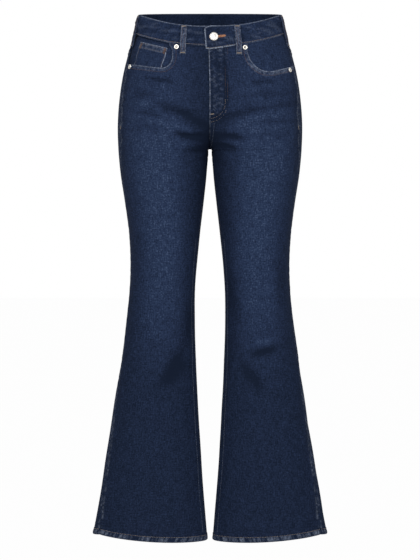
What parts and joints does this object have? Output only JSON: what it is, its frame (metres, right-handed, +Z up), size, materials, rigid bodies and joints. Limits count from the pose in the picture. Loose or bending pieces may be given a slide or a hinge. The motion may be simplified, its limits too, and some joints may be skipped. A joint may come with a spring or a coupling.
{
  "type": "bootcut jeans",
  "caption": "High-rise five-pocket denim jeans, slim to the knee and flared to a wide hem, filled out as if worn, with a hollow waist and open legs.",
  "frame": {"origin": "middle of the waist opening, level with the middle of the waistband at the sides, where the wearer's waist holds the jeans up", "axes": "+Z up, -Y towards the front, +X towards the wearer's left; the garment hangs straight down from the waist"},
  "size_m": [0.476, 0.2409, 1.0666],
  "materials": {
    "denim": "dark indigo stretch twill, rinsed",
    "faded_denim": "dark indigo twill, rubbed paler",
    "satin_steel": "satin, silver tone"
  },
  "bodies": {
    "root": {"back_left": "denim", "back_pocket_left": "denim", "back_pocket_right": "denim", "back_right": "denim", "belt_loop_back_centre": "faded_denim", "belt_loop_front_left": "faded_denim", "belt_loop_front_right": "faded_denim", "belt_loop_side_left": "faded_denim", "belt_loop_side_right": "faded_denim", "button": "satin_steel", "coin_pocket": "faded_denim", "fly_shield": "denim", "front_left": "denim", "front_right": "denim", "pocket_facing_left": "denim", "pocket_facing_right": "denim", "rivet_inner_left": "satin_steel", "rivet_inner_right": "satin_steel", "rivet_outer_left": "satin_steel", "rivet_outer_right": "satin_steel", "waistband_left": "denim", "waistband_right": "denim", "yoke_left": "denim", "yoke_right": "denim", "zip": "satin_steel"}
  },
  "joints": []
}
